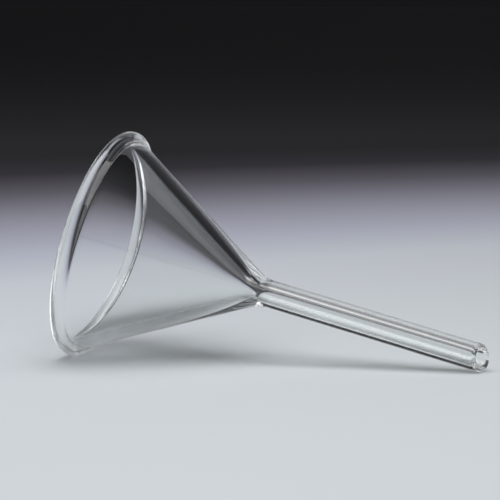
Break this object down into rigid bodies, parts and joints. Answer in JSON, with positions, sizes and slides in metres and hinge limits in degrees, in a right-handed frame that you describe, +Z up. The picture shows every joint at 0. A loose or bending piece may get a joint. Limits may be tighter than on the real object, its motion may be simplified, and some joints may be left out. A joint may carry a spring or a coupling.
{
  "type": "conical funnel",
  "caption": "Clear glass filter funnel: a wide cone with a beaded rim, drawn down to a straight stem whose tip is ground at an angle.",
  "frame": {"origin": "on the floor under the middle of the lying funnel's box", "axes": "+Z up from the floor; +X along the floor from the mouth to the stem tip, the longest extent; the funnel's own axis slopes 14.4 degrees down towards +X"},
  "size_m": [0.137, 0.075, 0.0728],
  "materials": {
    "glass": "clear fire-polished borosilicate glass"
  },
  "bodies": {
    "root": {"funnel": "glass"}
  },
  "joints": []
}
